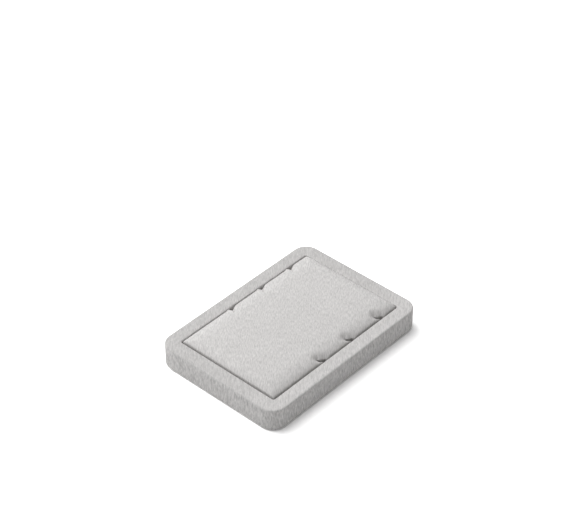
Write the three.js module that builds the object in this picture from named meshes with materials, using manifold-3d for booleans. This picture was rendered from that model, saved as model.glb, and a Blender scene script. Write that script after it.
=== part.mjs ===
// Flat jewellery display stand: a fabric-wrapped tray with a recess, and a padded insert that lifts out of it.
// Millimetres, +Z up. The origin is on the table under the tray's centre, X runs across the tray and Y along it,
// and the slits in the insert start near its +Y end.
import * as THREE from "three";
import { mergeVertices } from "three/addons/utils/BufferGeometryUtils.js";
import Module from "manifold-3d";

const wasm = await Module();
wasm.setup();

// Tray, measured over the fabric.
const TRAY_WIDTH = 100;
const TRAY_LENGTH = 140;
const RIM_HEIGHT = 17;
const CORNER_RADIUS = 10.4; // outer corners, seen from above
const EDGE_RADIUS = 1.2; // outer top edge of the rim
const FOOT_RADIUS = 1.2; // outer bottom edge
const LIP_RADIUS = 0.8; // edge of the rim at the recess
const RIM_SIDE = 10; // rim width along the long sides
const RIM_END = 10.5; // rim width across the short ends
const RECESS_CORNER = 1.4; // corners of the recess, seen from above

// Sheets and boards of the tray.
const FABRIC = 0.8; // microfibre, on the tray and on the insert
const GLUE = 0.3; // gap between a wrapped fabric and what it is glued to
const FELT = 0.6; // under the hem
const FELT_INSET = 3; // from the tray's outline
const BOTTOM_BOARD = 3;
const HEM = 9; // width of the fabric turned under the tray

// Insert, measured over the fabric.
const PAD_GAP_SIDE = 1.25; // between the insert and the recess, along the long sides
const PAD_GAP_END = 0.9; // and at the short ends
const PAD_CROWN = 3; // top of the insert above the rim
const SIDE_ROLL = 12; // width of the rolled long edges
const SIDE_DROP = 2.9; // from the top of the insert to its long edges
const END_ROLL = 6; // width of the rolled short ends
const END_DROP = 2.6; // from the top of the insert to its short ends
const ROUND_SHARE = 0.25; // part of a drop that comes close to the edge
const PAD_BOARD = 3;
const PAD_BACKING = 0.5; // under the insert's hem
const PAD_HEM = 8; // width of the fabric turned under the insert
const BACKING_LAP = 2; // of the insert's hem that the backing covers

// Slits in the long edges of the insert, which grip what is laid across it.
const SLIT_COUNT = 3;
const SLIT_FIRST = 19.5; // from the +Y end of the insert to the first slit
const SLIT_SPACING = 28.2;
const SLIT_WIDTH = 0.8;
const SLIT_REACH = 4.6; // from the edge to the slit's round end
const GROOVE_REACH = 6; // from the edge to where the fabric starts to roll down to a slit
const GROOVE_FULL = 3.5; // from the edge to where it rolls down all the way
const GROOVE_BACK = 7; // width of the rolled stretch behind a slit, towards +Y
const GROOVE_FRONT = 1; // and in front of it
const CORNER_POWER = 3; // how square the insert's corner between a long edge and a slit is

// Smoothness of the round stretches.
const CORNER_STEPS = 4;
const EDGE_STEPS = 4;
const ROLL_STEPS = 4;
const GROOVE_STEPS = 3;
const SPARE = 1; // how far a cutter runs past what it cuts

// Heights of the layers, from the table up.
const hemLow = FELT;
const hemHigh = hemLow + FABRIC;
const boardHigh = hemHigh + BOTTOM_BOARD;
const recessFloor = boardHigh + FABRIC;
const padHemLow = recessFloor + PAD_BACKING;
const padHemHigh = padHemLow + FABRIC;
const padBoardHigh = padHemHigh + PAD_BOARD;
const padTopHeight = RIM_HEIGHT + PAD_CROWN;

// Outlines that several pieces share.
const recessWidth = TRAY_WIDTH - 2 * RIM_SIDE;
const recessLength = TRAY_LENGTH - 2 * RIM_END;
const padWidth = recessWidth - 2 * PAD_GAP_SIDE;
const padLength = recessLength - 2 * PAD_GAP_END;
const padCorner = Math.max(RECESS_CORNER - PAD_GAP_END, GLUE);
const lining = FABRIC + GLUE; // from a fabric's outside to the core under it

const slitPlaces = Array.from(
  { length: SLIT_COUNT },
  (_, i) => padLength / 2 - SLIT_FIRST - i * SLIT_SPACING,
);

const microfibre = new THREE.MeshStandardMaterial({ color: 0xcfcdcb, roughness: 0.95, metalness: 0 });
const felt = new THREE.MeshStandardMaterial({ color: 0x9a9896, roughness: 1, metalness: 0 });
const fibreboard = new THREE.MeshStandardMaterial({ color: 0xa98457, roughness: 0.85, metalness: 0 });
const sponge = new THREE.MeshStandardMaterial({ color: 0xe6e2d6, roughness: 0.9, metalness: 0 });

// A closed geometry as a solid that can be joined and cut.
function solid(geometry) {
  const bare = geometry.clone();
  bare.deleteAttribute("normal");
  bare.deleteAttribute("uv");
  const merged = mergeVertices(bare);
  const vertProperties = merged.attributes.position.array;
  const triVerts = new Uint32Array(merged.index.array);
  return new wasm.Manifold(new wasm.Mesh({ numProp: 3, vertProperties, triVerts }));
}

// A solid as a named mesh.
function piece(name, body, material) {
  const { vertProperties, triVerts } = body.getMesh();
  const geometry = new THREE.BufferGeometry();
  geometry.setAttribute("position", new THREE.BufferAttribute(vertProperties, 3));
  geometry.setIndex(new THREE.BufferAttribute(triVerts, 1));
  geometry.computeVertexNormals();
  const mesh = new THREE.Mesh(geometry, material);
  mesh.name = name;
  return mesh;
}

// Rounded rectangle about the origin. An outline that is drawn in keeps its corners' centres.
function outline(width, length, corner, inset = 0) {
  const x = width / 2 - inset;
  const y = length / 2 - inset;
  const radius = Math.min(Math.max(corner - inset, GLUE), x, y);
  const shape = new THREE.Shape();
  shape.absarc(x - radius, y - radius, radius, 0, Math.PI / 2);
  shape.absarc(radius - x, y - radius, radius, Math.PI / 2, Math.PI);
  shape.absarc(radius - x, radius - y, radius, Math.PI, 1.5 * Math.PI);
  shape.absarc(x - radius, radius - y, radius, 1.5 * Math.PI, 2 * Math.PI);
  shape.closePath();
  return shape;
}

const trayOutline = (inset) => outline(TRAY_WIDTH, TRAY_LENGTH, CORNER_RADIUS, inset);
const recessOutline = (inset) => outline(recessWidth, recessLength, RECESS_CORNER, inset);
const padOutline = (inset) => outline(padWidth, padLength, padCorner, inset);

// A shape pulled straight up from one height to another.
function prism(shape, low, high) {
  const geometry = new THREE.ExtrudeGeometry(shape, {
    depth: high - low,
    bevelEnabled: false,
    curveSegments: CORNER_STEPS,
  });
  return solid(geometry.translate(0, 0, low));
}

// A solid through stacked rings. Each level is [inset, height], and outlineAt gives the ring's shape.
function stack(outlineAt, levels) {
  const rings = levels.map(([inset]) => outlineAt(inset).getPoints(CORNER_STEPS).slice(0, -1));
  const count = rings[0].length;
  const positions = rings.flatMap((ring, level) => ring.flatMap((p) => [p.x, p.y, levels[level][1]]));
  const index = [];
  for (let level = 0; level + 1 < rings.length; level++) {
    for (let k = 0; k < count; k++) {
      const a = level * count + k;
      const b = level * count + ((k + 1) % count);
      index.push(a, b, a + count, b, b + count, a + count);
    }
  }
  const last = (rings.length - 1) * count;
  for (const [a, b, c] of THREE.ShapeUtils.triangulateShape(rings[0], [])) {
    index.push(c, b, a, last + a, last + b, last + c);
  }
  const geometry = new THREE.BufferGeometry();
  geometry.setAttribute("position", new THREE.Float32BufferAttribute(positions, 3));
  geometry.setIndex(index);
  return solid(geometry);
}

// Levels of a quarter-round edge, from the wall at angle 0 to the face at a right angle.
function quarterRound(radius) {
  return Array.from({ length: EDGE_STEPS + 1 }, (_, i) => {
    const angle = (i / EDGE_STEPS) * (Math.PI / 2);
    return [radius * (1 - Math.cos(angle)), radius * (1 - Math.sin(angle))];
  });
}

// The tray's outer body drawn in by an inset, with its top and bottom edges rounded.
function trayBody(inset, low, high, bottomRadius, topRadius) {
  const bottom = quarterRound(bottomRadius).reverse().map(([draw, drop]) => [inset + draw, low + drop]);
  const top = quarterRound(topRadius).map(([draw, drop]) => [inset + draw, high - drop]);
  return stack(trayOutline, [...bottom, ...top]);
}

// The recess as a cutter, opening out over the rim's round lip.
function recessCutter(low) {
  const lip = quarterRound(LIP_RADIUS).map(([draw, drop]) => [-draw, RIM_HEIGHT - drop]);
  return stack(recessOutline, [[0, low], ...lip, [-LIP_RADIUS, RIM_HEIGHT + SPARE]]);
}

// A sheet glued over a hem: its middle fills the opening inside the hem.
function sheetOverHem(wide, opening, low, hemFace, boardFace) {
  return prism(wide, low, hemFace).add(prism(opening, hemFace - GLUE, boardFace));
}

function undersideFelt() {
  return sheetOverHem(trayOutline(FELT_INSET), trayOutline(HEM + GLUE), 0, hemLow, hemHigh);
}

function bottomBoard() {
  return prism(trayOutline(lining), hemHigh, boardHigh);
}

function frameCore() {
  const block = trayBody(lining, boardHigh, RIM_HEIGHT - FABRIC, GLUE, Math.max(EDGE_RADIUS - lining, GLUE));
  return block.subtract(prism(recessOutline(-lining), boardHigh - SPARE, RIM_HEIGHT + SPARE));
}

// One fabric over the outside, the rim and the recess walls, and turned under as a hem.
function rimWrap() {
  const outside = trayBody(0, hemLow, RIM_HEIGHT, FOOT_RADIUS, EDGE_RADIUS);
  const inside = trayBody(FABRIC, hemHigh, RIM_HEIGHT - FABRIC, GLUE, Math.max(EDGE_RADIUS - FABRIC, GLUE));
  const wallAndRecess = prism(recessOutline(-FABRIC), boardHigh, RIM_HEIGHT + SPARE);
  const hemOpening = prism(trayOutline(HEM), hemLow - SPARE, hemHigh + SPARE);
  return outside.subtract(inside.subtract(wallAndRecess)).subtract(recessCutter(boardHigh)).subtract(hemOpening);
}

function recessLining() {
  return prism(recessOutline(GLUE), boardHigh, recessFloor);
}

const share = (value) => Math.min(Math.max(value, 0), 1);

// How far a rolled edge has dropped, as a place goes from 0 at its inner side to 1 at the edge.
function rolled(at, drop) {
  const round = 1 - Math.sqrt(1 - at * at);
  return drop * ((1 - ROUND_SHARE) * at * at + ROUND_SHARE * round);
}

// How near a place is to a slit: 0 where the fabric starts to roll down to it, 1 at the slit.
function slitShare(toSide, along) {
  const width = along > 0 ? GROOVE_BACK : GROOVE_FRONT;
  const reach = share((GROOVE_REACH - toSide) / (GROOVE_REACH - GROOVE_FULL));
  return reach * share(1 - Math.abs(along) / width);
}

// Height of the insert's crowned top over a place in plan.
function padTop(x, y) {
  const toSide = padWidth / 2 - Math.abs(x);
  const toEnd = padLength / 2 - Math.abs(y);
  const side = share(1 - toSide / SIDE_ROLL);
  const slit = Math.max(...slitPlaces.map((place) => slitShare(toSide, y - place)));
  const across = share((side ** CORNER_POWER + slit ** CORNER_POWER) ** (1 / CORNER_POWER));
  const drop = Math.max(rolled(across, SIDE_DROP), rolled(share(1 - toEnd / END_ROLL), END_DROP));
  return padTopHeight - drop;
}

// Places along a rolled edge, from its inner side to past the edge, counted from the middle of the insert.
function rollStations(half, width) {
  const places = Array.from({ length: ROLL_STEPS + 1 }, (_, i) => {
    const angle = (i / ROLL_STEPS) * (Math.PI / 2);
    return half - width + width * Math.sin(angle);
  });
  return [...places, half + SPARE];
}

// Places along the insert where the stretches beside the slits start, bend and end.
function grooveStations() {
  const back = Array.from({ length: GROOVE_STEPS + 1 }, (_, i) => GROOVE_BACK * (i / GROOVE_STEPS) ** 1.5);
  return slitPlaces.flatMap((place) => [-GROOVE_FRONT, ...back].map((step) => place + step));
}

// Sorted places with near doubles taken out.
function tidyStations(places) {
  const sorted = [...places].sort((a, b) => a - b);
  return sorted.filter((place, i) => i === 0 || place - sorted[i - 1] > GLUE / 2);
}

// A block over the whole insert, from the table up to its crowned top or a given depth under it.
function crownedBlock(sink) {
  const grooves = [GROOVE_REACH, GROOVE_FULL].map((reach) => padWidth / 2 - reach);
  const sides = [...rollStations(padWidth / 2, SIDE_ROLL), ...grooves];
  const ends = rollStations(padLength / 2, END_ROLL);
  const xs = tidyStations([...sides, ...sides.map((x) => -x), 0]);
  const ys = tidyStations([...ends, ...ends.map((y) => -y), ...grooveStations()]);
  const count = xs.length * ys.length;
  const top = ys.flatMap((y) => xs.flatMap((x) => [x, y, padTop(x, y) - sink]));
  const base = ys.flatMap((y) => xs.flatMap((x) => [x, y, 0]));
  const index = [];
  const quad = (a, b, c, d) => index.push(a, b, c, a, c, d);
  for (let j = 0; j + 1 < ys.length; j++) {
    for (let i = 0; i + 1 < xs.length; i++) {
      const a = j * xs.length + i;
      const [b, c, d] = [a + 1, a + xs.length + 1, a + xs.length];
      quad(a, b, c, d);
      quad(count + d, count + c, count + b, count + a);
    }
  }
  for (let i = 0; i + 1 < xs.length; i++) {
    const far = (ys.length - 1) * xs.length + i;
    quad(count + i, count + i + 1, i + 1, i);
    quad(count + far + 1, count + far, far, far + 1);
  }
  for (let j = 0; j + 1 < ys.length; j++) {
    const left = j * xs.length;
    const right = left + xs.length - 1;
    quad(count + left + xs.length, count + left, left, left + xs.length);
    quad(count + right, count + right + xs.length, right + xs.length, right);
  }
  const geometry = new THREE.BufferGeometry();
  geometry.setAttribute("position", new THREE.Float32BufferAttribute([...top, ...base], 3));
  geometry.setIndex(index);
  return solid(geometry);
}

// The slits on both long edges as one cutter, widened by the thickness of what lines them.
function slitCutter(widen) {
  const half = SLIT_WIDTH / 2 + widen;
  const inner = padWidth / 2 - SLIT_REACH - widen + half;
  const outer = padWidth / 2 + SPARE;
  const cuts = slitPlaces.flatMap((place) =>
    [1, -1].map((side) => {
      const slit = new THREE.Shape();
      slit.moveTo(outer, -half);
      slit.lineTo(outer, half);
      slit.lineTo(inner, half);
      slit.absarc(inner, 0, half, Math.PI / 2, 1.5 * Math.PI);
      slit.closePath();
      const cut = prism(slit, 0, padTopHeight + SPARE);
      return cut.rotate([0, 0, side > 0 ? 0 : 180]).translate([0, place, 0]);
    }),
  );
  return cuts.reduce((joined, cut) => joined.add(cut));
}

// The insert's body drawn in by an inset, from a height up to a depth under its crowned top.
function padBody(inset, low, sink) {
  const walls = prism(padOutline(inset), low, padTopHeight + SPARE);
  return crownedBlock(sink).intersect(walls).subtract(slitCutter(inset));
}

const backingInset = PAD_HEM - BACKING_LAP;

function padBacking() {
  return sheetOverHem(padOutline(backingInset), padOutline(PAD_HEM + GLUE), recessFloor, padHemLow, padHemHigh);
}

function padBoard() {
  return prism(padOutline(lining), padHemHigh, padBoardHigh).subtract(slitCutter(lining));
}

function padFoam() {
  return padBody(lining, padBoardHigh, lining);
}

// One fabric over the foam and round the board, tucked into the slits and turned under as a hem.
function padCover() {
  const outside = padBody(0, padHemLow, 0);
  const inside = padBody(FABRIC, padHemHigh, FABRIC);
  const hemOpening = prism(padOutline(PAD_HEM), padHemLow - SPARE, padHemHigh + SPARE);
  return outside.subtract(inside).subtract(hemOpening);
}

const tray = new THREE.Group();
tray.add(piece("underside_felt", undersideFelt(), felt));
tray.add(piece("bottom_board", bottomBoard(), fibreboard));
tray.add(piece("frame_core", frameCore(), fibreboard));
tray.add(piece("rim_wrap", rimWrap(), microfibre));
tray.add(piece("recess_lining", recessLining(), microfibre));

const insert = new THREE.Group();
insert.add(piece("pad_backing", padBacking(), felt));
insert.add(piece("pad_board", padBoard(), fibreboard));
insert.add(piece("pad_foam", padFoam(), sponge));
insert.add(piece("pad_cover", padCover(), microfibre));

const stand = new THREE.Group();
stand.add(tray, insert);

export default stand;
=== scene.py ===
import math

import bpy
from mathutils import Matrix, Vector, noise


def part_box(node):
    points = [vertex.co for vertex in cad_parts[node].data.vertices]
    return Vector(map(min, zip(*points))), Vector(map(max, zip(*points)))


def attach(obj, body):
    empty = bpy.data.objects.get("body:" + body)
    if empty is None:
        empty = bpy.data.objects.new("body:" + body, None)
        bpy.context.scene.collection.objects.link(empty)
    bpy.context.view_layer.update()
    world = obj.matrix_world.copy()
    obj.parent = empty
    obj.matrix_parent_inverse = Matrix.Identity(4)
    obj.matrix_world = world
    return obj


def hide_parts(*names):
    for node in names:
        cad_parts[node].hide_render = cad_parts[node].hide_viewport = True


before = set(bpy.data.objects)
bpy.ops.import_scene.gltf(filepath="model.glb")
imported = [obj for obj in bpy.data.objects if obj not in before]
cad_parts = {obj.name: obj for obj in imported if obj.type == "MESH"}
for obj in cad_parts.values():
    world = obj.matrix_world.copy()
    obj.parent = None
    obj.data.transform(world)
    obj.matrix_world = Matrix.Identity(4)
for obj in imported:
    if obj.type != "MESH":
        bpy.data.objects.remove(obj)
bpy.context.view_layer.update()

# Lengths below are in millimetres, and become metres when a mesh is made.
MM = 0.001

# Sizes repeated from the solids.
CORNER_RADIUS = 10.4
EDGE_RADIUS = 1.2
FOOT_RADIUS = 1.2
LIP_RADIUS = 0.8
RECESS_CORNER = 1.4
FABRIC = 0.8
GLUE = 0.3
HEM = 9.0
PAD_HEM = 8.0
PAD_CORNER = 0.5
SIDE_ROLL = 12.0
END_ROLL = 6.0
SLIT_COUNT = 3
SLIT_FIRST = 19.5
SLIT_SPACING = 28.2

# Camera, fitted to the tray's edges.
CAMERA_AZIMUTH = 42.22
CAMERA_ELEVATION = 38.62
CAMERA_DISTANCE = 1165.0
CAMERA_AIM = (-2.52, 55.54)  # from the origin, along the picture's right and up
FOCAL_PIXELS = 1800.0
PICTURE_WIDTH = 573.0
SENSOR_WIDTH = 36.0


def node_box(node):
    """A node's lowest and highest corners, in millimetres."""
    low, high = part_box(node)
    return [v / MM for v in low], [v / MM for v in high]


tray_low, tray_high = node_box("rim_wrap")
lining_low, lining_high = node_box("recess_lining")
pad_low, pad_high = node_box("pad_cover")
backing_low, backing_high = node_box("pad_backing")
foam_low = node_box("pad_foam")[0]
felt_low, felt_high = node_box("underside_felt")

TRAY_HALF = (tray_high[0], tray_high[1])
RIM_TOP = tray_high[2]
HEM_LOW = tray_low[2]
HEM_HIGH = HEM_LOW + FABRIC
BOARD_HIGH = lining_low[2]
RECESS_FLOOR = lining_high[2]
RECESS_HALF = (lining_high[0] + GLUE, lining_high[1] + GLUE)
PAD_HALF = (pad_high[0], pad_high[1])
PAD_TOP = pad_high[2]
PAD_HEM_LOW = pad_low[2]
PAD_HEM_HIGH = PAD_HEM_LOW + FABRIC
SLIT_PLACES = [PAD_HALF[1] - SLIT_FIRST - i * SLIT_SPACING for i in range(SLIT_COUNT)]


# Mesh helpers

SHARP_ANGLE = 50  # degrees: an edge that turns more than this stays sharp
SMALLEST_RADIUS = 0.3  # of a corner that is drawn in
SAME_HEIGHT = 0.01  # heights closer than this count as one


def make_piece(name, verts, faces, body, material):
    """A smooth mesh object from points in millimetres, riding on a body."""
    mesh = bpy.data.meshes.new(name)
    mesh.from_pydata([[c * MM for c in v] for v in verts], [], faces)
    mesh.validate()
    mesh.update()
    for polygon in mesh.polygons:
        polygon.use_smooth = True
    mesh.set_sharp_from_angle(angle=math.radians(SHARP_ANGLE))
    piece = bpy.data.objects.new(name, mesh)
    bpy.context.scene.collection.objects.link(piece)
    mesh.materials.append(material)
    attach(piece, body)
    return piece


def steps(count, first=0.0, last=1.0):
    """Places from first to last that are a count of equal steps apart."""
    return [first + (last - first) * i / count for i in range(count + 1)]


def ripple(x, y, z, wave, seed):
    """Smooth noise from -1 to 1 whose bumps are about one wave apart."""
    return noise.noise(Vector((x / wave + seed, y / wave - seed, z / wave + 0.5 * seed)))


def unevenness(x, y, z, layers):
    """Sum of ripples, each given by its height, its wave and its seed."""
    return sum(height * ripple(x, y, z, wave, seed) for height, wave, seed in layers)


# Rounded rectangles

ARC_POINTS = 12
SHORT_POINTS = 60
LONG_POINTS = 90


def rounded_loop(half_x, half_y, radius):
    """Points of a rounded rectangle, anticlockwise, always as many and in the same order."""
    loop = []
    corners = [(1, 1, SHORT_POINTS), (-1, 1, LONG_POINTS), (-1, -1, SHORT_POINTS), (1, -1, LONG_POINTS)]
    centres = [(sx * (half_x - radius), sy * (half_y - radius)) for sx, sy, _ in corners]
    for k, (_, _, count) in enumerate(corners):
        start = k * math.pi / 2
        for t in steps(ARC_POINTS):
            angle = start + t * math.pi / 2
            x = centres[k][0] + radius * math.cos(angle)
            y = centres[k][1] + radius * math.sin(angle)
            loop.append((x, y))
        nxt = centres[(k + 1) % 4]
        turn = start + math.pi / 2
        shift = (radius * math.cos(turn), radius * math.sin(turn))
        for t in steps(count)[1:-1]:
            x = centres[k][0] + (nxt[0] - centres[k][0]) * t + shift[0]
            y = centres[k][1] + (nxt[1] - centres[k][1]) * t + shift[1]
            loop.append((x, y))
    return loop


def inset_outline(half, radius, inset):
    """Half sizes and corner radius of an outline that is drawn in."""
    return (half[0] - inset, half[1] - inset, max(radius - inset, SMALLEST_RADIUS))


def blended_outline(first, second, t):
    return tuple(a + (b - a) * t for a, b in zip(first, second))


def ring_faces(first, second, count):
    """Quads between two rings of points whose numbers start at first and second."""
    return [
        (first + k, first + (k + 1) % count, second + (k + 1) % count, second + k) for k in range(count)
    ]


def swept_tube(levels):
    """A ring-shaped solid: each level is (outline, height), and the last joins the first."""
    loops = [[(x, y, z) for x, y in rounded_loop(*outline)] for outline, z in levels]
    count = len(loops[0])
    verts = [p for loop in loops for p in loop]
    faces = []
    for level in range(len(loops)):
        faces += ring_faces(level * count, (level + 1) % len(loops) * count, count)
    return verts, faces


def stacked_block(levels):
    """A solid through stacked rings, closed by one face at its bottom and one at its top."""
    loops = [[(x, y, z) for x, y in rounded_loop(*outline)] for outline, z in levels]
    count = len(loops[0])
    verts = [p for loop in loops for p in loop]
    faces = []
    for level in range(len(loops) - 1):
        faces += ring_faces(level * count, (level + 1) * count, count)
    faces.append(tuple(reversed(range(count))))
    faces.append(tuple(range((len(loops) - 1) * count, len(loops) * count)))
    return verts, faces


# Materials

GRAIN_RANGE = (0.3, 0.7)  # most of a grain's values lie between these


class Shader:
    """A new material's node tree with a Principled shader."""

    def __init__(self, name):
        self.material = bpy.data.materials.new(name)
        self.material.use_nodes = True
        self.nodes = self.material.node_tree.nodes
        self.links = self.material.node_tree.links
        self.bsdf = self.nodes["Principled BSDF"]
        self.place = self.nodes.new("ShaderNodeTexCoord").outputs["Object"]

    def surface(self, roughness, specular, sheen=0.0, sheen_roughness=0.5):
        self.bsdf.inputs["Roughness"].default_value = roughness
        self.bsdf.inputs["Specular IOR Level"].default_value = specular
        self.bsdf.inputs["Sheen Weight"].default_value = sheen
        self.bsdf.inputs["Sheen Roughness"].default_value = sheen_roughness

    def grain(self, sizes, turn=0.0, detail=2.0, rough=0.55):
        """Noise with grains of the given sizes in millimetres, turned about Z by an angle in degrees."""
        mapping = self.nodes.new("ShaderNodeMapping")
        mapping.vector_type = "TEXTURE"
        mapping.inputs["Rotation"].default_value = (0, 0, math.radians(turn))
        mapping.inputs["Scale"].default_value = [s * MM for s in sizes]
        self.links.new(self.place, mapping.inputs["Vector"])
        texture = self.nodes.new("ShaderNodeTexNoise")
        texture.inputs["Scale"].default_value = 1.0
        texture.inputs["Detail"].default_value = detail
        texture.inputs["Roughness"].default_value = rough
        self.links.new(mapping.outputs["Vector"], texture.inputs["Vector"])
        return texture.outputs["Fac"]

    def ramp(self, value, low, high, dark, light):
        """Colour between two shades as a value goes from low to high."""
        node = self.nodes.new("ShaderNodeValToRGB")
        first, second = node.color_ramp.elements
        first.position, second.position = low, high
        first.color = (*dark, 1)
        second.color = (*light, 1)
        self.links.new(value, node.inputs["Fac"])
        return node.outputs["Color"]

    def scaled(self, value, low, high, first, second):
        """A number from first to second as a value goes from low to high."""
        node = self.nodes.new("ShaderNodeMapRange")
        for name, number in zip(("From Min", "From Max", "To Min", "To Max"), (low, high, first, second)):
            node.inputs[name].default_value = number
        self.links.new(value, node.inputs["Value"])
        return node.outputs["Result"]

    def times(self, colour, value):
        node = self.nodes.new("ShaderNodeVectorMath")
        node.operation = "MULTIPLY"
        self.links.new(colour, node.inputs[0])
        self.links.new(value, node.inputs[1])
        return node.outputs["Vector"]

    def mottled(self, colour, grain, spread):
        """A colour made darker and lighter by a grain, by up to a share."""
        return self.times(colour, self.scaled(grain, *GRAIN_RANGE, 1 - spread, 1 + spread))

    def plus(self, first, second):
        node = self.nodes.new("ShaderNodeMath")
        node.operation = "ADD"
        self.links.new(first, node.inputs[0])
        self.links.new(second, node.inputs[1])
        return node.outputs["Value"]

    def across_and_up(self):
        """Places across the tray and over the table, in metres."""
        node = self.nodes.new("ShaderNodeSeparateXYZ")
        self.links.new(self.place, node.inputs["Vector"])
        return node.outputs["X"], node.outputs["Z"]

    def colour(self, colour):
        self.links.new(colour, self.bsdf.inputs["Base Color"])

    def bump(self, height, strength, depth):
        node = self.nodes.new("ShaderNodeBump")
        node.inputs["Strength"].default_value = strength
        node.inputs["Distance"].default_value = depth * MM
        self.links.new(height, node.inputs["Height"])
        self.links.new(node.outputs["Normal"], self.bsdf.inputs["Normal"])


# Sizes of the suede's grains, in millimetres.
NAP_GRAIN = (0.5, 3.0, 2.6)
FIBRE_GRAIN = (0.35, 1.4, 1.2)
CLOUD_GRAIN = (16, 22, 16)
STREAK_GRAIN = (0.85, 0.85, 4.0)
NAP_TURN = CAMERA_AZIMUTH  # the nap is brushed along one diagonal of the tray
# How much darker or lighter a grain makes the suede, as a share.
FIBRE_SPREAD = 0.07
CLOUD_SPREAD = 0.015
STREAK_SPREAD = 0.18
PAINTED_SHEEN_FROM = 15  # across the tray, the rim top's darker painted sheen on the -X side ends here
PAINTED_SHEEN_TO = 45  # and the lighter painted sheen along its +X side begins here


def suede(name, dark, light, rim_painted_sheen=None):
    """Microfibre suede: a brushed nap with streaks, a fine fibre grain and broad soft clouds."""
    shader = Shader(name)
    shader.surface(roughness=0.92, specular=0.15, sheen=0.12, sheen_roughness=0.6)
    nap = shader.grain(NAP_GRAIN, NAP_TURN)
    fibres = shader.grain(FIBRE_GRAIN, NAP_TURN)
    clouds = shader.grain(CLOUD_GRAIN, detail=1.0)
    colour = shader.ramp(nap, *GRAIN_RANGE, dark, light)
    colour = shader.mottled(colour, fibres, FIBRE_SPREAD)
    colour = shader.mottled(colour, clouds, CLOUD_SPREAD)
    # On the rim, painted sheen: its top is darker on the -X side and lighter along the +X side.
    if rim_painted_sheen:
        colour = shader.times(colour, rim_streaks_and_painted_sheen(shader, *rim_painted_sheen))
    shader.colour(colour)
    shader.bump(shader.plus(nap, fibres), strength=0.5, depth=0.15)
    return shader.material


def rim_streaks_and_painted_sheen(shader, left, right):
    """Streaks on the rim's walls, and painted sheen on its top: two tones, darker on the -X side and
    lighter along the +X side, standing in for the nap catching the light.
    """
    x, height = shader.across_and_up()
    walls = shader.grain(STREAK_GRAIN, detail=1.5)
    streaks = shader.scaled(walls, *GRAIN_RANGE, 1 - STREAK_SPREAD, 1 + STREAK_SPREAD)
    painted_sheen_share = shader.scaled(x, PAINTED_SHEEN_FROM * MM, PAINTED_SHEEN_TO * MM, left, right)
    top = shader.scaled(height, (RIM_TOP - EDGE_RADIUS) * MM, RIM_TOP * MM, 0.0, 1.0)
    node = shader.nodes.new("ShaderNodeMix")
    shader.links.new(streaks, node.inputs["A"])
    shader.links.new(top, node.inputs["Factor"])
    shader.links.new(painted_sheen_share, node.inputs["B"])
    return node.outputs["Result"]


def felt(name, dark, light):
    """Pressed felt: tangled fibres with lighter and darker hairs."""
    shader = Shader(name)
    shader.surface(roughness=1.0, specular=0.05, sheen=0.2, sheen_roughness=0.7)
    hairs = shader.grain((0.35, 0.9, 0.5), turn=25, detail=4.0, rough=0.7)
    knots = shader.grain((2.4, 2.4, 2.4))
    colour = shader.ramp(hairs, *GRAIN_RANGE, dark, light)
    shader.colour(shader.mottled(colour, knots, spread=0.06))
    shader.bump(shader.plus(hairs, knots), strength=0.5, depth=0.2)
    return shader.material


def fibreboard(name):
    """Raw fibreboard: fine brown chips in flat layers."""
    shader = Shader(name)
    shader.surface(roughness=0.85, specular=0.2)
    chips = shader.grain((0.6, 0.6, 0.18), detail=5.0, rough=0.65)
    layers = shader.grain((12, 12, 1.2))
    colour = shader.ramp(chips, *GRAIN_RANGE, (0.24, 0.13, 0.055), (0.47, 0.3, 0.15))
    shader.colour(shader.mottled(colour, layers, spread=0.1))
    shader.bump(chips, strength=0.3, depth=0.1)
    return shader.material


def sponge(name):
    """Open-cell foam: pale cells with darker pores."""
    shader = Shader(name)
    shader.surface(roughness=0.95, specular=0.1)
    pores = shader.grain((0.7, 0.7, 0.7), detail=3.0, rough=0.7)
    clouds = shader.grain((9, 9, 9), detail=1.0)
    colour = shader.ramp(pores, 0.35, 0.6, (0.52, 0.48, 0.38), (0.82, 0.79, 0.7))
    shader.colour(shader.mottled(colour, clouds, spread=0.03))
    shader.bump(pores, strength=0.7, depth=0.3)
    return shader.material


SUEDE_DARK = (0.527, 0.518, 0.51)
SUEDE_LIGHT = (0.748, 0.732, 0.722)
RIM_PAINTED_SHEEN = (0.88, 0.975)  # painted sheen on the rim's top, as shares of the suede's colour on the -X side and along the +X side
rim_suede = suede("rim_suede", SUEDE_DARK, SUEDE_LIGHT, rim_painted_sheen=RIM_PAINTED_SHEEN)
pad_suede = suede("pad_suede", SUEDE_DARK, SUEDE_LIGHT)
grey_felt = felt("grey_felt", (0.19, 0.185, 0.18), (0.36, 0.352, 0.345))
board_brown = fibreboard("board_brown")
foam_cream = sponge("foam_cream")


# Tray fabric: one sheet over the outside, the rim and the recess walls, with its hem turned under

# How finely the sheet is divided.
EDGE_TURNS = 8
SMALL_TURNS = 4
SIDE_STEPS = 10
TOP_STEPS = 7
WALL_STEPS = 8
INNER_STEPS = 3

FELT_INSET = TRAY_HALF[0] - felt_high[0]


def tray_inset(inset):
    return inset_outline(TRAY_HALF, CORNER_RADIUS, inset)


def recess_grown(grow):
    return inset_outline(RECESS_HALF, RECESS_CORNER, -grow)


def quarter(count):
    """Angles of a quarter turn, a count of equal steps apart."""
    return [t * math.pi / 2 for t in steps(count)]


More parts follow.
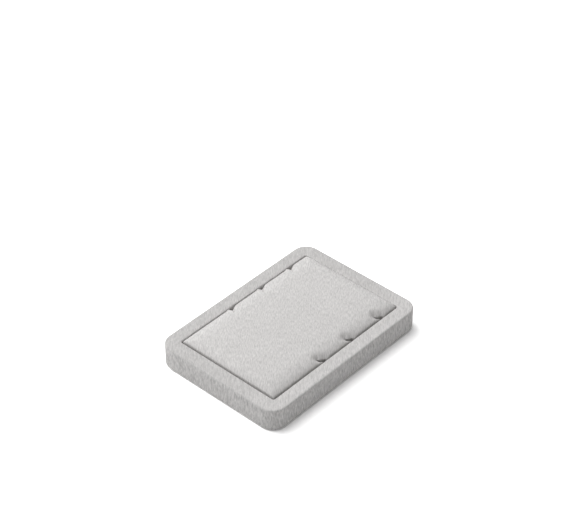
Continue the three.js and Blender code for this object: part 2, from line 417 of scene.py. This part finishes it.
def tray_fabric_levels():
    """Rings round the sheet: hem, side, rim and recess wall on its outside, then back on its inside."""
    hem = (HEM, 0.7 * HEM, 0.4 * HEM, FELT_INSET, 0.7 * FELT_INSET)
    levels = [(tray_inset(inset), HEM_LOW) for inset in hem]
    for a in quarter(EDGE_TURNS):
        inset = FOOT_RADIUS * (1 - math.sin(a))
        levels.append((tray_inset(inset), HEM_LOW + FOOT_RADIUS * (1 - math.cos(a))))
    side = (HEM_LOW + FOOT_RADIUS, RIM_TOP - EDGE_RADIUS)
    levels += [(tray_inset(0), z) for z in steps(SIDE_STEPS, *side)[1:-1]]
    for a in quarter(EDGE_TURNS):
        inset = EDGE_RADIUS * (1 - math.cos(a))
        levels.append((tray_inset(inset), RIM_TOP - EDGE_RADIUS * (1 - math.sin(a))))
    top = (tray_inset(EDGE_RADIUS), recess_grown(LIP_RADIUS))
    levels += [(blended_outline(*top, t), RIM_TOP) for t in steps(TOP_STEPS)[1:-1]]
    for a in quarter(EDGE_TURNS):
        grow = LIP_RADIUS * (1 - math.sin(a))
        levels.append((recess_grown(grow), RIM_TOP - LIP_RADIUS * (1 - math.cos(a))))
    levels += [(recess_grown(0), z) for z in steps(WALL_STEPS, RIM_TOP - LIP_RADIUS, BOARD_HIGH)[1:]]
    under = RIM_TOP - FABRIC
    levels += [(recess_grown(FABRIC), z) for z in steps(INNER_STEPS, BOARD_HIGH, under)]
    back = (recess_grown(FABRIC), tray_inset(EDGE_RADIUS))
    levels += [(blended_outline(*back, t), under) for t in steps(INNER_STEPS)[1:]]
    inside = (RIM_TOP - EDGE_RADIUS, HEM_HIGH + GLUE)
    levels += [(tray_inset(FABRIC), z) for z in steps(INNER_STEPS, *inside)]
    levels += [(tray_inset(inset), HEM_HIGH) for inset in steps(INNER_STEPS, FABRIC + GLUE, HEM)]
    return levels


PLEATS = 9  # gathers in the hem at each rounded corner
PLEAT_DEPTH = 0.16
PLEAT_CLEAR = 0.1  # left between the gathers and the felt
TRAY_WAVES = ((0.035, 9, 3), (0.02, 3.5, 8))  # small unevenness: height, wave and seed of each layer
WALL_ZONE = 2  # under the rim's top, the fabric stays even this near to the recess


def pleat(x, y):
    """How far the hem's gathers hang down at a place, at the rounded corners and outside the felt."""
    dx = abs(x) - (TRAY_HALF[0] - CORNER_RADIUS)
    dy = abs(y) - (TRAY_HALF[1] - CORNER_RADIUS)
    if dx <= 0 or dy <= 0 or CORNER_RADIUS - math.hypot(dx, dy) > FELT_INSET - PLEAT_CLEAR:
        return 0.0
    share = math.atan2(dy, dx) / (math.pi / 2)
    return PLEAT_DEPTH * math.sin(math.pi * share) ** 0.5 * (1 + math.cos(2 * math.pi * PLEATS * share))


def settle_tray_fabric(x, y, z):
    """Small unevenness of glued fabric, and gathers under the corners."""
    wave = unevenness(x, y, z, TRAY_WAVES)
    if z <= HEM_LOW + SAME_HEIGHT:
        return x, y, z - pleat(x, y)
    if z >= RIM_TOP - SAME_HEIGHT:
        return x, y, z + wave
    if abs(x) <= RECESS_HALF[0] + WALL_ZONE and abs(y) <= RECESS_HALF[1] + WALL_ZONE:
        return x, y, z
    length = math.hypot(x, y)
    return x + wave * x / length, y + wave * y / length, z


def make_tray_fabric():
    verts, faces = swept_tube(tray_fabric_levels())
    verts = [settle_tray_fabric(*v) for v in verts]
    piece = make_piece("tray_fabric", verts, faces, "tray", rim_suede)
    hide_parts("rim_wrap")


# Recess lining: a flat sheet glued to the bottom board, cut to fit between the walls

LINING_GAP = 0.04  # to the walls
LINING_ROUND = 0.4  # radius of its upper edge
LINING_RINGS = (3, 10, 20, 32)  # rings of its upper face, from the walls


def make_recess_lining():
    levels = [(recess_grown(-LINING_GAP), BOARD_HIGH)]
    for a in reversed(quarter(SMALL_TURNS)):
        inset = LINING_GAP + LINING_ROUND * (1 - math.sin(a))
        levels.append((recess_grown(-inset), RECESS_FLOOR - LINING_ROUND * (1 - math.cos(a))))
    levels += [(recess_grown(-inset), RECESS_FLOOR) for inset in LINING_RINGS]
    verts, faces = stacked_block(levels)
    piece = make_piece("recess_fabric", verts, faces, "tray", rim_suede)
    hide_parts("recess_lining")


# Felt sheets under the tray and under the insert, each with a raised middle inside the hem

FELT_TURNS = 6
FELT_RINGS = (25, 12, 5, 2)  # rings of a sheet's underside, from its edge
RAISED_RINGS = (6, 16)  # rings of its raised middle, from the hem's edge
FRAY_DRIFT = (0.12, 4.0, 5)  # how its edge wanders in and out: height, wave and seed
FRAY_SINK = (0.015, 4.0, 21)  # and how its upper face sinks here and there


def felt_levels(outline_at, inset, hem, low, hem_face, top):
    """Rings from the middle of the sheet's underside, round its soft edge, to its raised middle."""
    soft = (hem_face - low) / 2
    levels = [(outline_at(inset + ring), low) for ring in FELT_RINGS]
    for a in steps(FELT_TURNS, -math.pi / 2, math.pi / 2):
        levels.append((outline_at(inset + soft * (1 - math.cos(a))), low + soft * (1 + math.sin(a))))
    levels += [(outline_at(hem + GLUE), hem_face), (outline_at(hem + GLUE), top)]
    levels += [(outline_at(hem + ring), top) for ring in RAISED_RINGS]
    return levels


def fray(x, y, z, low):
    """Felt's uneven edge and upper face. Its underside stays flat."""
    sink = FRAY_SINK[0] + unevenness(x, y, z, [FRAY_SINK]) if z > low + SAME_HEIGHT else 0.0
    drift = unevenness(x, y, 0, [FRAY_DRIFT])
    length = math.hypot(x, y)
    return x + drift * x / length, y + drift * y / length, z - sink


def make_felt(name, node, body, levels):
    low = levels[0][1]
    verts, faces = stacked_block(levels)
    verts = [fray(*v, low) for v in verts]
    piece = make_piece(name, verts, faces, body, grey_felt)
    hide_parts(node)


def pad_outline(inset):
    return inset_outline(PAD_HALF, PAD_CORNER, inset)


def make_felts():
    tray_levels = felt_levels(tray_inset, FELT_INSET, HEM, felt_low[2], HEM_LOW, HEM_HIGH)
    make_felt("tray_felt", "underside_felt", "tray", tray_levels)
    pad_inset = PAD_HALF[0] - backing_high[0]
    pad_levels = felt_levels(pad_outline, pad_inset, PAD_HEM, backing_low[2], PAD_HEM_LOW, PAD_HEM_HIGH)
    make_felt("pad_felt", "pad_backing", "insert", pad_levels)


# Padded insert

FULLNESS = 0.2  # how far the flat of the fabric lies over the solid's top,
SWELL = 0.4  # and how far its middle swells over that
SWELL_RISE = 6.0  # height over a slot's floor from which the fabric swells in full
PAD_WAVE = (0.03, 5, 14)  # small unevenness of its top: height, wave and seed,
PAD_WALL_WAVE = (0.07, 7, 31)  # and of its walls
SIDE_DROP = 2.4  # over the whole roll of a long edge,
END_DROP = 1.9  # and of a short end,
EDGE_DROP = 0.9  # and over the round stretch at either
EDGE_ROUND = 4.0
CORNER_POWER = 4  # how square the top is where a long edge and a short end meet
# Pairs are for the slits on the -X side and for those on the +X side.
SLIT_TIP = (4.9, 3.7)  # a slit's inner end, from the long edge
SLIT_SET = ((0.4, 0.4, 0.4), (1.6, 0.9, 2.3))  # how much further back than in the solid each slit lies
BEND = 3.5  # a slit on the +X side bends back by this much on its way to the edge
NOTCH = 2.2  # on the -X side the corner behind a slit is drawn in from the edge instead
NOTCH_START = 0.05  # behind the slit's line
NOTCH_RUN = 6.5
NOTCH_DEPTH = 6.5
NOTCH_HIGH = 11.4  # the walls under a notch or a flared corner come back to the outline from here
NOTCH_LOW = 9.8  # to here
SLOT_WIDTH = 1.4
SLOT_EDGE = 0.3  # width of a slot's steep walls
SLOT_RUN = 2.2  # from a slit's tip to where it is fully open
SLOT_FLOOR = foam_low[2] + GLUE + FABRIC + GLUE  # a little foam is left under a slot
TIP_BLEND = 1.6  # past a slit's tip its two sides run together over this much for each millimetre,
LINE_BLEND = 0.05  # and over this much along the slit
LOBE_FULL = 3.0  # behind a slit the pad ends in a round lobe, whole up to here from the long edge
LOBE_REACH = 6.5
LOBE_DROP = 3.5
SINK_REACH = 5.0  # in front of a slit the pad sinks on the +X side,
SINK_DROP = 2.2
SINK_EDGE = 0.55  # as a share, at the long edge
FRONT_REACH = 0.8  # and only rolls over on the -X side
FRONT_DROP = 0.5
UNDERCUT = 0.9  # how far a slot leans in under the lobe behind it,
UNDERCUT_SLOPE = 0.45  # by this much for each millimetre of its depth
FLARE_RUN = (2.2, 4.5)  # the corner in front of a slit stands out to the rim
FLARE_REACH = 3.5
FLARE_RISE = 0.1  # share of its run over which it comes out
FLARE_POWER = 1.3  # how fast it goes in again, away from the edge
FLARE_GAP = 0.25  # left between that corner and the rim


def clamp(value, low=0.0, high=1.0):
    """A value kept between two others."""
    return min(max(value, low), high)


def smooth(share):
    """A share from 0 to 1 that starts and ends gently."""
    share = clamp(share)
    return share * share * (3 - 2 * share)


def round_drop(distance, reach):
    """Drop towards a round edge, as a share: 0 from the reach on, 1 at the edge."""
    rest = 1 - clamp(distance / reach)
    return 1 - math.sqrt(1 - rest * rest)


def rolled(to_edge, width, drop):
    """How far a rolled edge has dropped at a distance from it, in millimetres."""
    return drop * clamp(1 - to_edge / width) ** 2 + EDGE_DROP * round_drop(to_edge, EDGE_ROUND)


def by_side(x, pair):
    """The value of a pair that holds on a place's side of the pad."""
    return pair[1] if x > 0 else pair[0]


def slit_offsets(x, y):
    """How far along from each slit a place lies."""
    return [y - place - back for place, back in zip(SLIT_PLACES, by_side(x, SLIT_SET))]


def bend(x):
    """How far back a slit's line lies at a place across the pad."""
    to_side = PAD_HALF[0] - x
    return BEND * clamp(1 - to_side / SLIT_TIP[1]) ** 3


def bend_slope(x):
    """How far back a slit's line goes there for each millimetre across."""
    to_side = PAD_HALF[0] - x
    return 3 * BEND / SLIT_TIP[1] * clamp(1 - to_side / SLIT_TIP[1]) ** 2


def flare(x, v):
    """How much of the flared corner in front of a slit there is at a place, from 0 to 1."""
    t = clamp((bend(x) - v) / by_side(x, FLARE_RUN))
    to_side = PAD_HALF[0] - abs(x)
    return smooth(t / FLARE_RISE) * (1 - t) ** 2 * clamp(1 - to_side / FLARE_REACH) ** FLARE_POWER


# The line of a slit on the +X side, as points: how far from the edge and how far along from its place.
SLIT_LINE_STEPS = 24
SLIT_LINE = [(u, bend(PAD_HALF[0] - u)) for u in steps(SLIT_LINE_STEPS, 0, SLIT_TIP[1])]


def segment_distance(u, v, start, end):
    """Distance of a place from a straight piece of a line."""
    du, dv = end[0] - start[0], end[1] - start[1]
    share = clamp(((u - start[0]) * du + (v - start[1]) * dv) / (du * du + dv * dv))
    return math.hypot(u - start[0] - share * du, v - start[1] - share * dv)


def behind_slit(x, v):
    """How far a place lies behind a slit's line, or in front of it where it is negative."""
    to_side = PAD_HALF[0] - x
    if x < 0 or to_side > SIDE_ROLL or abs(v) > SIDE_ROLL:
        return v
    distance = min(segment_distance(to_side, v, *ends) for ends in zip(SLIT_LINE, SLIT_LINE[1:]))
    return math.copysign(distance, v - bend(x))


def front_drop(x, to_side, away):
    """How far the pad drops in front of a slit, in millimetres."""
    if x < 0:
        return FRONT_DROP * round_drop(away, FRONT_REACH)
    inside = SINK_EDGE + (1 - SINK_EDGE) * smooth(to_side / LOBE_FULL)
    return SINK_DROP * inside * clamp(1 - away / SINK_REACH) ** 2


def slit_drop(x, v, behind):
    """How far the pad rolls down to a slit at a place beside it, in millimetres."""
    to_side = PAD_HALF[0] - abs(x)
    away = math.hypot(max(to_side - LOBE_FULL, 0.0), behind)
    lobe = LOBE_DROP * clamp(1 - away / LOBE_REACH) ** 2
    front = front_drop(x, to_side, away)
    blend = LINE_BLEND + TIP_BLEND * max(to_side - by_side(x, SLIT_TIP) + 1, 0.0)
    return front + (lobe - front) * smooth(0.5 + (v - bend(x)) / (2 * blend))


def slot(x, behind, widen):
    """1 in a slit's open slot and 0 beside it, widened for the layers under the fabric."""
    to_side = PAD_HALF[0] - abs(x)
    open_share = smooth((by_side(x, SLIT_TIP) + widen - to_side) / SLOT_RUN)
    half = SLOT_WIDTH / 2
    beside = max(abs(behind - half) - widen, 0.0)
    return open_share * smooth((half * open_share + SLOT_EDGE - beside) / SLOT_EDGE)


def pad_place(x, y, sink):
    """Height of the crowned top, and how far a slit leans there, sunk and widened for the layers below."""
    to_side = PAD_HALF[0] - abs(x)
    to_end = PAD_HALF[1] - abs(y)
    slits = [(v, behind_slit(x, v)) for v in slit_offsets(x, y)]
    drop = rolled(to_side, SIDE_ROLL, SIDE_DROP)
    end_drop = rolled(to_end, END_ROLL, END_DROP)
    height = PAD_TOP + FULLNESS - sink
    height -= (drop**CORNER_POWER + end_drop**CORNER_POWER) ** (1 / CORNER_POWER)
    height -= max(slit_drop(x, v, behind) for v, behind in slits)
    opened = max(slot(x, behind, sink) for _, behind in slits)
    depth = opened * max(height - SLOT_FLOOR + sink, 0.0)
    return height - depth, min(UNDERCUT_SLOPE * depth, UNDERCUT)


def notch(to_side, v):
    """How far the corner behind a slit on the -X side is drawn in at a place."""
    if v < NOTCH_START:
        return 0.0
    return NOTCH * clamp(1 - v / NOTCH_RUN) * clamp(1 - to_side / NOTCH_DEPTH) ** 2


def pad_shift(x, y):
    """How far the corners beside the slits move a point of the pad across."""
    to_side = PAD_HALF[0] - abs(x)
    room = RECESS_HALF[0] - PAD_HALF[0] - FLARE_GAP
    across = 0.0
    for v in slit_offsets(x, y):
        across += math.copysign(room, x) * flare(x, v)
        if x < 0:
            across += notch(to_side, v)
    return across


ROWS_NEAR = (-0.6, 2.1)  # grid rows from here to here keep their distance from a slit
ROWS_REACH = 13.5  # and rows from here on run straight


def row_place(x, y):
    """A grid row's place on the +X side, where the rows beside a slit follow its curve."""
    if x < 0:
        return y
    v, left, right = min(zip(slit_offsets(-x, y), *SLIT_SET), key=lambda slit: abs(slit[0]))
    near = clamp(v, *ROWS_NEAR)
    moved = (right - left) * smooth(2 - (PAD_HALF[0] - x) / SIDE_ROLL)
    moved += bend(x) + near * (math.hypot(1.0, bend_slope(x)) - 1)
    return y + moved * clamp((ROWS_REACH - abs(v)) / (ROWS_REACH - abs(near)))


def mirrored(distances, half):
    """Places on both sides of the middle, from distances to the edge, and the middle itself."""
    return {round(half - d, 6) for d in distances} | {round(d - half, 6) for d in distances} | {0.0}


# The pad's grid: columns by their distance from a long edge, rows from a short end and from a slit's place.
EDGE_STATIONS = (0, 0.1, 0.25, 0.45, 0.7, *steps(18, 1.0, 5.5), 6, 7, 8, 9, 10, 11.5, 13)
END_STATIONS = (0, 0.1, 0.3, 0.6, 1.0, 1.5, 2.1, 2.8, 3.6, 4.5, 5.5, 6.7)
SLIT_FRONT_STATIONS = (-6, -5, -4, -3.2, -2.5, -2, -1.5, -1.1, -0.8, -0.5, -0.3)
SLIT_STATIONS = (*SLIT_FRONT_STATIONS, *steps(30, -0.1, 2.9), 3.3, 4, 5, 6, 7)
PLAIN_STEP = 1.6
PAD_WALL_STEPS = 9


def filled(places, gap):
    """Sorted places with steps of about a gap put between them."""
    ordered = sorted(places)
    full = [ordered[0]]
    for place in ordered[1:]:
        start = full[-1]
        count = max(1, round((place - start) / gap))
        full += [start + (place - start) * i / count for i in range(1, count + 1)]
    return full


def pad_stations():
    xs = filled(mirrored(EDGE_STATIONS, PAD_HALF[0]), PLAIN_STEP)
    rows = mirrored(END_STATIONS, PAD_HALF[1])
    for place in SLIT_PLACES:
        rows |= {round(place + v, 6) for v in SLIT_STATIONS}
    return xs, filled(rows, PLAIN_STEP)


def rounded_corner(x, y, half_x, half_y, radius):
    """Moves a point of a square corner inside a round one."""
    u = (abs(x) - half_x + radius) / radius
    v = (abs(y) - half_y + radius) / radius
    if u <= 0 or v <= 0:
        return x, y
    new_x = half_x - radius + radius * u * math.sqrt(1 - v * v / 2)
    new_y = half_y - radius + radius * v * math.sqrt(1 - u * u / 2)
    return math.copysign(new_x, x), math.copysign(new_y, y)


PUFF_COLUMNS = 40
PUFF_ROWS = 60
PUFF_SCALE = 10 * MM  # simulated ten times as large, which keeps the cloth steady
PUFF_FRAMES = 24
PUFF_EDGE = 0.1  # points this close to the pad's edge are held,
PUFF_SLIT = 1.1  # and points this close to a slit


def puff_study():
    """A flat sheet over the pad, with its edges and slits held."""
    xs = steps(PUFF_COLUMNS, -PAD_HALF[0], PAD_HALF[0])
    ys = steps(PUFF_ROWS, -PAD_HALF[1], PAD_HALF[1])
    places = [(x, y) for y in ys for x in xs]
    wide = PUFF_COLUMNS + 1
    starts = [j * wide + i for j in range(PUFF_ROWS) for i in range(PUFF_COLUMNS)]
    mesh = bpy.data.meshes.new("puff_study")
    mesh.from_pydata(
        [(x * PUFF_SCALE, y * PUFF_SCALE, 0.0) for x, y in places],
        [],
        [(a, a + 1, a + wide + 1, a + wide) for a in starts],
    )
    study = bpy.data.objects.new("puff_study", mesh)
    bpy.context.scene.collection.objects.link(study)
    held = study.vertex_groups.new(name="held")
    for number, (x, y) in enumerate(places):
        to_side = PAD_HALF[0] - abs(x)
        to_end = PAD_HALF[1] - abs(y)
        to_slit = min(abs(v) for v in slit_offsets(x, y))
        at_slit = to_side < by_side(x, SLIT_TIP) and to_slit < PUFF_SLIT
        if min(to_side, to_end) < PUFF_EDGE or at_slit:
            held.add([number], 1.0, "REPLACE")
    return study


def puffed_heights():
    """Heights of the study's points after its fabric is blown up, as shares of the highest."""
    study = puff_study()
    cloth = study.modifiers.new("Cloth", "CLOTH")
    settings = cloth.settings
    settings.quality = 6
    settings.mass = 0.3
    settings.tension_stiffness = 15
    settings.compression_stiffness = 15
    settings.bending_stiffness = 2
    settings.vertex_group_mass = "held"
    settings.use_pressure = True
    settings.uniform_pressure_force = 4
    settings.effector_weights.gravity = 0
    cloth.point_cache.frame_start = 1
    cloth.point_cache.frame_end = PUFF_FRAMES
    scene = bpy.context.scene
    for moment in range(1, PUFF_FRAMES + 1):
        scene.frame_set(moment)
    shaped = study.evaluated_get(bpy.context.evaluated_depsgraph_get())
    heights = [v.co.z for v in shaped.to_mesh().vertices]
    shaped.to_mesh_clear()
    mesh = study.data
    bpy.data.objects.remove(study)
    bpy.data.meshes.remove(mesh)
    scene.frame_set(1)
    tallest = max(heights)
    return [clamp(h / tallest) for h in heights]


def swelling_field():
    """How far the fabric swells at a place, in millimetres: a lookup in the simulated heights."""
    heights = puffed_heights()
    wide = PUFF_COLUMNS + 1

    def swelling(x, y):
        u = clamp((x / PAD_HALF[0] + 1) / 2) * PUFF_COLUMNS
        v = clamp((y / PAD_HALF[1] + 1) / 2) * PUFF_ROWS
        i, j = min(int(u), PUFF_COLUMNS - 1), min(int(v), PUFF_ROWS - 1)
        s, t = u - i, v - j
        near = heights[j * wide + i] * (1 - s) + heights[j * wide + i + 1] * s
        far = heights[(j + 1) * wide + i] * (1 - s) + heights[(j + 1) * wide + i + 1] * s
        return SWELL * (near * (1 - t) + far * t)

    return swelling


class PadShell:
    """Grid and rings of the insert's form, drawn in by an inset."""

    def __init__(self, swelling):
        self.swelling = swelling
        self.xs, self.ys = pad_stations()
        self.verts = []
        self.faces = []

    def add_face(self, quad, flip):
        self.faces.append(quad[::-1] if flip else quad)

    def edge_numbers(self):
        """Numbers of the grid's edge points, anticlockwise."""
        wide, tall = len(self.xs), len(self.ys)
        loop = list(range(wide))
        loop += [j * wide + wide - 1 for j in range(1, tall)]
        loop += [(tall - 1) * wide + i for i in range(wide - 2, -1, -1)]
        loop += [j * wide for j in range(tall - 2, 0, -1)]
        return loop

    def add_layer(self, inset, low, turn, flip):
        """The crowned top, its walls and a round turn at their foot. Gives back the foot's ring."""
        self.half = (PAD_HALF[0] - inset, PAD_HALF[1] - inset)
        first = len(self.verts)
        plain = []
        radius = max(PAD_CORNER - inset, SMALLEST_RADIUS)
        for row in self.ys:
            for x in self.xs:
                y = row_place(x, row)
                z, lean = pad_place(x, y, inset)
                loose = smooth((z - SLOT_FLOOR) / SWELL_RISE)
                z += loose * (self.swelling(x, y) + unevenness(x, y, 0, [PAD_WAVE]))
                place = (x * self.half[0] / PAD_HALF[0], y * self.half[1] / PAD_HALF[1])
                px, py = rounded_corner(*place, *self.half, radius)
                plain.append((px, py))
                across = pad_shift(x, y) - (lean if x > 0 else 0.0)
                self.verts.append((px + across, py + lean, z))
        wide = len(self.xs)
        for j in range(len(self.ys) - 1):
            for i in range(wide - 1):
                a = first + j * wide + i
                self.add_face((a, a + 1, a + wide + 1, a + wide), flip)
        edge = self.edge_numbers()
        return self.add_walls([first + k for k in edge], [plain[k] for k in edge], low, turn, flip)

    def add_ring(self, above, points, flip):
        """A ring of points under another, joined to it by quads. Gives back its numbers."""
        first = len(self.verts)
        self.verts += points
        count = len(points)
        ring = [first + k for k in range(count)]
        for k in range(count):
            n = (k + 1) % count
            self.add_face((ring[k], ring[n], above[n], above[k]), flip)
        return ring

    def add_walls(self, edge, plain, low, turn, flip):
        """Walls from the edge down, which come back to the plain outline, and the turn at their foot."""
        tops = [self.verts[k] for k in edge]
        ring = edge
        for t in steps(PAD_WALL_STEPS)[1:]:
            points = []
            for (x, y, z), (px, py) in zip(tops, plain):
                foot = min(low + turn, z)
                height = z + (foot - z) * t
                sway = unevenness(x, y, height, [PAD_WALL_WAVE]) * math.sin(math.pi * t)
                settled = smooth((NOTCH_HIGH - height) / (NOTCH_HIGH - NOTCH_LOW))
                wx = x + (px - x) * settled - math.copysign(sway, x)
                points.append((wx, y + (py - y) * settled, height))
            ring = self.add_ring(ring, points, flip)
        for a in quarter(SMALL_TURNS)[1:]:
            points = []
            for (_, _, z), (px, py) in zip(tops, plain):
                foot = min(low + turn, z)
                height = foot - (foot - low) * math.sin(a)
                points.append((*self.drawn_in(px, py, turn * (1 - math.cos(a))), height))
            ring = self.add_ring(ring, points, flip)
        return ring

    def drawn_in(self, x, y, draw):
        """A point of the outline moved towards the middle, with the corners kept square."""
        return x * (self.half[0] - draw) / self.half[0], y * (self.half[1] - draw) / self.half[1]

    def add_hem(self, ring, low, places, flip):
        """A hem under the walls, from its ring of foot points to the last of the places inside it."""
        points = [self.verts[k] for k in ring]
        for draw in places:
            ring = self.add_ring(ring, [(*self.drawn_in(x, y, draw), low) for x, y, _ in points], flip)
        return ring


PAD_HEM_RINGS = (2.5, 5.0)
INNER_TURN = 0.2  # at the foot of the fabric's inside,
FOAM_TURN = 0.1  # and at the foam's foot


def make_pad_fabric(swelling):
    shell = PadShell(swelling)
    outer = shell.add_layer(0.0, PAD_HEM_LOW, FABRIC, False)
    outer = shell.add_hem(outer, PAD_HEM_LOW, (*PAD_HEM_RINGS, PAD_HEM - FABRIC), False)
    inner = shell.add_layer(FABRIC, PAD_HEM_HIGH, INNER_TURN, True)
    inner = shell.add_hem(inner, PAD_HEM_HIGH, (PAD_HEM - FABRIC,), True)
    count = len(outer)
    for k in range(count):
        n = (k + 1) % count
        shell.faces.append((inner[k], inner[n], outer[n], outer[k]))
    piece = make_piece("pad_fabric", shell.verts, shell.faces, "insert", pad_suede)
    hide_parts("pad_cover")


def make_pad_foam(swelling):
    shell = PadShell(swelling)
    ring = shell.add_layer(FABRIC + GLUE, foam_low[2], FOAM_TURN, False)
    shell.faces.append(tuple(reversed(ring)))
    piece = make_piece("pad_sponge", shell.verts, shell.faces, "insert", foam_cream)
    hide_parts("pad_foam")


# Stage, light and camera. The lengths of the floor and of the light are in metres.

WHITE = (1, 1, 1, 1)


def seen_directly(nodes, links):
    """1 for what the camera sees, also through glass or in a mirror, and 0 for other light."""
    path = nodes.new("ShaderNodeLightPath")
    seen = path.outputs["Is Camera Ray"]
    for ray in ("Is Glossy Ray", "Is Transmission Ray"):
        either = nodes.new("ShaderNodeMath")
        either.operation = "MAXIMUM"
        links.new(seen, either.inputs[0])
        links.new(path.outputs[ray], either.inputs[1])
        seen = either.outputs["Value"]
    return seen


FLOOR_COLOUR = 0.86
FLOOR_SEEN = 1.82  # the floor shows overexposed, so that it is white and keeps a short shadow
FLOOR_NEAR = 0.35  # from the middle, where the floor starts to run out into the white backdrop
FLOOR_FAR = 0.8
FLOOR_SIZE = 8
FLOOR_DROP = 0.00002  # the floor lies just under the tray


def far_share(nodes, links):
    """0 on the floor round the tray, and 1 far from it."""
    place = nodes.new("ShaderNodeTexCoord")
    distance = nodes.new("ShaderNodeVectorMath")
    distance.operation = "LENGTH"
    share = nodes.new("ShaderNodeMapRange")
    share.inputs["From Min"].default_value = FLOOR_NEAR
    share.inputs["From Max"].default_value = FLOOR_FAR
    links.new(place.outputs["Object"], distance.inputs[0])
    links.new(distance.outputs["Value"], share.inputs["Value"])
    return share.outputs["Result"]


def make_floor():
    bpy.ops.mesh.primitive_plane_add(size=FLOOR_SIZE, location=(0, 0, -FLOOR_DROP))
    floor = bpy.context.object
    floor.name = "floor"
    material = bpy.data.materials.new("white_table")
    material.use_nodes = True
    nodes, links = material.node_tree.nodes, material.node_tree.links
    nodes.clear()
    output = nodes.new("ShaderNodeOutputMaterial")
    plain = nodes.new("ShaderNodeBsdfDiffuse")
    plain.inputs["Color"].default_value = (FLOOR_COLOUR, FLOOR_COLOUR, FLOOR_COLOUR, 1)
    bright = nodes.new("ShaderNodeBsdfDiffuse")
    bright.inputs["Color"].default_value = (FLOOR_SEEN, FLOOR_SEEN, FLOOR_SEEN, 1)
    white = nodes.new("ShaderNodeEmission")
    white.inputs["Color"].default_value = WHITE
    table = nodes.new("ShaderNodeMixShader")
    links.new(far_share(nodes, links), table.inputs[0])
    links.new(bright.outputs[0], table.inputs[1])
    links.new(white.outputs[0], table.inputs[2])
    mix = nodes.new("ShaderNodeMixShader")
    links.new(seen_directly(nodes, links), mix.inputs[0])
    links.new(plain.outputs[0], mix.inputs[1])
    links.new(table.outputs[0], mix.inputs[2])
    links.new(mix.outputs[0], output.inputs["Surface"])
    floor.data.materials.append(material)


WORLD_LIGHT = 0.31
KEY_WATTS = 16.1
KEY_WIDE = 1.1
KEY_LONG = 1.5
KEY_DISTANCE = 1.2
KEY_FROM_TOP = 34  # degrees from straight above
KEY_TURN = 190  # degrees round from +X


def make_world():
    world = bpy.data.worlds.new("studio")
    bpy.context.scene.world = world
    world.use_nodes = True
    nodes, links = world.node_tree.nodes, world.node_tree.links
    nodes.clear()
    output = nodes.new("ShaderNodeOutputWorld")
    ambient = nodes.new("ShaderNodeBackground")
    ambient.inputs["Strength"].default_value = WORLD_LIGHT
    ambient.inputs["Color"].default_value = WHITE
    backdrop = nodes.new("ShaderNodeBackground")
    backdrop.inputs["Strength"].default_value = 1.0
    backdrop.inputs["Color"].default_value = WHITE
    mix = nodes.new("ShaderNodeMixShader")
    links.new(seen_directly(nodes, links), mix.inputs[0])
    links.new(ambient.outputs[0], mix.inputs[1])
    links.new(backdrop.outputs[0], mix.inputs[2])
    links.new(mix.outputs[0], output.inputs["Surface"])


def make_key_light():
    tilt, turn = math.radians(KEY_FROM_TOP), math.radians(KEY_TURN)
    towards = Vector((math.sin(tilt) * math.cos(turn), math.sin(tilt) * math.sin(turn), math.cos(tilt)))
    data = bpy.data.lights.new("key", "AREA")
    data.energy = KEY_WATTS
    data.shape = "RECTANGLE"
    data.size = KEY_WIDE
    data.size_y = KEY_LONG
    key = bpy.data.objects.new("key", data)
    key.location = towards * KEY_DISTANCE
    key.rotation_euler = towards.to_track_quat("Z", "Y").to_euler()
    bpy.context.scene.collection.objects.link(key)


def make_camera():
    """The photograph's camera, from its place round the tray and its height over the table."""
    turn, rise = math.radians(CAMERA_AZIMUTH), math.radians(CAMERA_ELEVATION)
    back = Vector((math.sin(turn) * math.cos(rise), -math.cos(turn) * math.cos(rise), math.sin(rise)))
    right = Vector((math.cos(turn), math.sin(turn), 0))
    up = back.cross(right)
    data = bpy.data.cameras.new("camera")
    data.sensor_fit = "HORIZONTAL"
    data.sensor_width = SENSOR_WIDTH
    data.lens = FOCAL_PIXELS / PICTURE_WIDTH * SENSOR_WIDTH
    camera = bpy.data.objects.new("camera", data)
    place = (right * CAMERA_AIM[0] + up * CAMERA_AIM[1] + back * CAMERA_DISTANCE) * MM
    camera.matrix_world = Matrix.Translation(place) @ Matrix((right, up, back)).transposed().to_4x4()
    bpy.context.scene.collection.objects.link(camera)
    bpy.context.scene.camera = camera


def dress_boards():
    """Fibreboard on the solids that stay."""
    for node in ("bottom_board", "frame_core", "pad_board"):
        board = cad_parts[node]
        board.data.materials.clear()
        board.data.materials.append(board_brown)


make_camera()
make_floor()
make_world()
make_key_light()
dress_boards()
make_tray_fabric()
make_recess_lining()
make_felts()
swelling = swelling_field()
make_pad_fabric(swelling)
make_pad_foam(swelling)

bpy.context.scene.view_settings.view_transform = "Standard"
